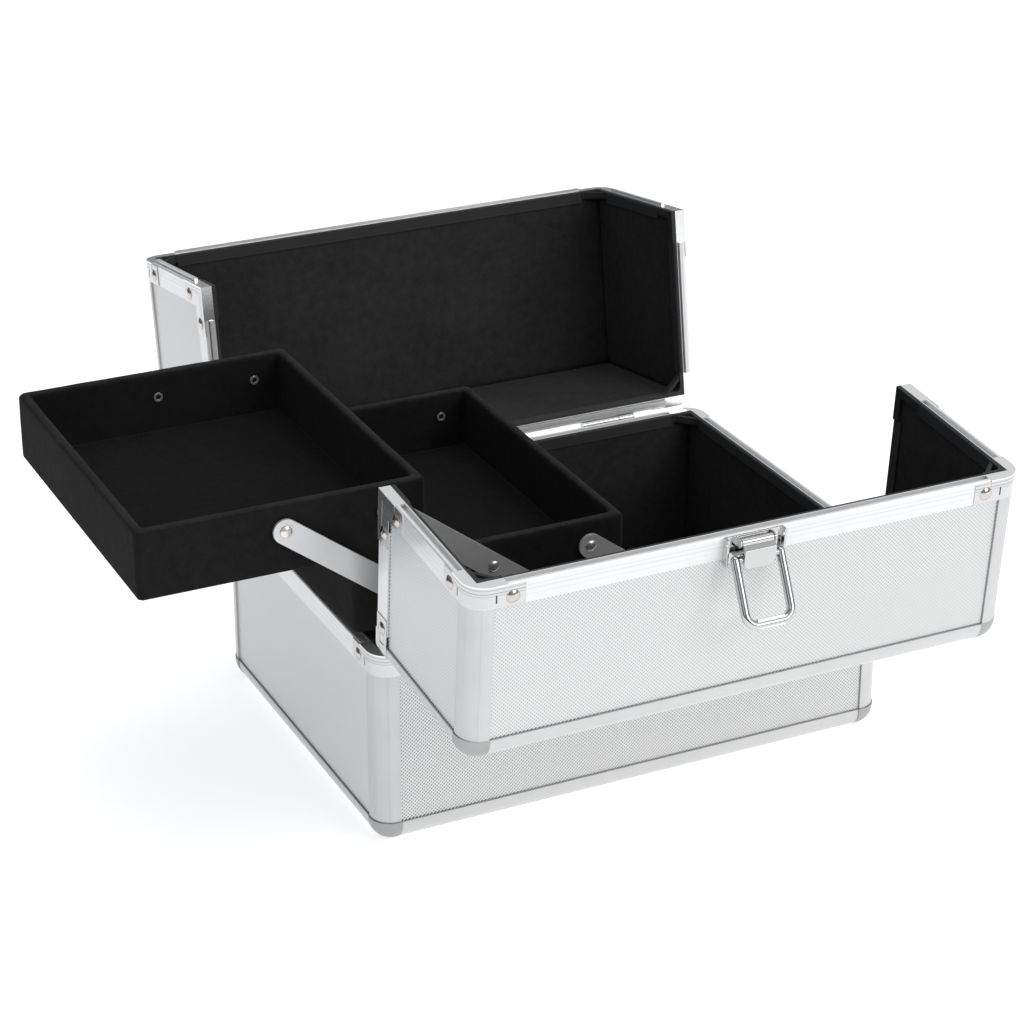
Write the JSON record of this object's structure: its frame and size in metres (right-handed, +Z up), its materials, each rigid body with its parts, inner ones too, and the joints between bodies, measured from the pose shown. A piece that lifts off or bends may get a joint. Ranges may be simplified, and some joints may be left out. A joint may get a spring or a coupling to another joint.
{
  "type": "makeup train case",
  "caption": "Silver aluminium-framed makeup train case, standing open, with two lid halves and a swing-out stack of two lined trays.",
  "frame": {"origin": "centre of the flat underside, in the plane the case stands on", "axes": "+Z up, +X to the right along the length, -Y towards the latch side; the trays swing out towards -X"},
  "size_m": [0.4177, 0.48, 0.227],
  "materials": {
    "silver_panel": "silver-white laminate with a fine raised diamond texture",
    "satin_profile": "satin",
    "grey_cap": "satin grey",
    "bright_rail": "polished, ridged",
    "bright_connector": "polished",
    "nickel_rivet": "warm nickel, polished",
    "steel_arm": "satin",
    "plated_steel": "bright plated",
    "black_felt": "flocked black felt",
    "black_grip": "soft matt black"
  },
  "bodies": {
    "base": {"base_bottom_panel": "silver_panel", "base_front_panel": "silver_panel", "base_rear_panel": "silver_panel", "base_side_panels": "silver_panel", "base_lining": "black_felt", "base_upright_profiles": "satin_profile", "base_bottom_profiles": "satin_profile", "base_corner_caps": "grey_cap", "base_long_rails": "bright_rail", "base_side_rails": "bright_rail", "base_rail_connectors": "bright_connector", "base_connector_rivets": "nickel_rivet", "base_hinge_leaves": "plated_steel", "hinge_pins": "nickel_rivet", "base_arm_pivots": "nickel_rivet"},
    "front_lid": {"front_lid_top_panel": "silver_panel", "front_lid_wall_panel": "silver_panel", "front_lid_side_panels": "silver_panel", "front_lid_lining": "black_felt", "front_lid_long_profile": "satin_profile", "front_lid_short_profiles": "satin_profile", "front_lid_corner_caps": "grey_cap", "front_lid_hinge_rail": "bright_rail", "front_lid_top_rail": "bright_rail", "front_lid_side_rails": "bright_rail", "front_lid_connectors": "bright_connector", "front_lid_connector_rivets": "nickel_rivet", "front_lid_hinge_leaves": "plated_steel", "latch_plate": "plated_steel", "latch_pin": "nickel_rivet"},
    "latch_lever": {"latch_lever": "plated_steel"},
    "latch_ring": {"latch_ring": "plated_steel"},
    "rear_lid": {"rear_lid_top_panel": "silver_panel", "rear_lid_wall_panel": "silver_panel", "rear_lid_side_panels": "silver_panel", "rear_lid_lining": "black_felt", "rear_lid_long_profile": "satin_profile", "rear_lid_short_profiles": "satin_profile", "rear_lid_corner_caps": "grey_cap", "rear_lid_hinge_rail": "bright_rail", "rear_lid_top_rail": "bright_rail", "rear_lid_side_rails": "bright_rail", "rear_lid_connectors": "bright_connector", "rear_lid_connector_rivets": "nickel_rivet", "rear_lid_hinge_leaves": "plated_steel", "latch_strike": "plated_steel", "handle_mounts": "plated_steel"},
    "handle": {"handle_bail": "plated_steel", "handle_grip": "black_grip"},
    "long_arms": {"long_arms": "steel_arm"},
    "lower_arms": {"lower_arms": "steel_arm"},
    "upper_arms": {"upper_arms": "steel_arm"},
    "lower_tray": {"lower_tray_floor": "black_felt", "lower_tray_walls": "black_felt", "lower_tray_rivets": "nickel_rivet"},
    "upper_tray": {"upper_tray_floor": "black_felt", "upper_tray_walls": "black_felt", "upper_tray_rivets": "nickel_rivet"}
  },
  "joints": [
    {"name": "front_lid_hinge", "type": "hinge", "parent": "base", "child": "front_lid", "pos_m": [0, -0.109, 0.11], "axis": [-1, 0, 0], "range_deg": [0, 8]},
    {"name": "rear_lid_hinge", "type": "hinge", "parent": "base", "child": "rear_lid", "pos_m": [0, 0.109, 0.11], "axis": [1, 0, 0], "range_deg": [0, 12]},
    {"name": "latch_lever_hinge", "type": "hinge", "parent": "front_lid", "child": "latch_lever", "pos_m": [-0.003, -0.22433, 0.19598], "axis": [-1, 0, 0], "range_deg": [0, 60]},
    {"name": "latch_ring_hinge", "type": "hinge", "parent": "latch_lever", "child": "latch_ring", "pos_m": [-0.003, -0.22596, 0.1882], "axis": [1, 0, 0], "range_deg": [-150, 0]},
    {"name": "handle_hinge", "type": "hinge", "parent": "rear_lid", "child": "handle", "pos_m": [0, 0.23079, 0.17576], "axis": [1, 0, 0], "range_deg": [-8, 90]},
    {"name": "tray_swing", "type": "hinge", "parent": "base", "child": "long_arms", "pos_m": [-0.024, 0, 0.1], "axis": [0, 1, 0], "range_deg": [0, 110.6]},
    {"name": "lower_arm_swing", "type": "hinge", "parent": "base", "child": "lower_arms", "pos_m": [0.031, 0, 0.1], "axis": [0, 1, 0], "range_deg": [0, 110.6]},
    {"name": "lower_tray_level", "type": "hinge", "parent": "long_arms", "child": "lower_tray", "pos_m": [-0.0799, 0, 0.14213], "axis": [0, 1, 0], "range_deg": [-110.6, 0]},
    {"name": "upper_tray_level", "type": "hinge", "parent": "long_arms", "child": "upper_tray", "pos_m": [-0.13581, 0, 0.18425], "axis": [0, 1, 0], "range_deg": [-110.6, 0]},
    {"name": "upper_arm_swing", "type": "hinge", "parent": "lower_tray", "child": "upper_arms", "pos_m": [-0.1349, 0, 0.14213], "axis": [0, 1, 0], "range_deg": [0, 110.6]}
  ],
  "couplings": [
    {"joint": "lower_arm_swing", "follows": "tray_swing", "ratio": 1},
    {"joint": "lower_tray_level", "follows": "tray_swing", "ratio": -1},
    {"joint": "upper_tray_level", "follows": "tray_swing", "ratio": -1},
    {"joint": "upper_arm_swing", "follows": "tray_swing", "ratio": 1}
  ]
}
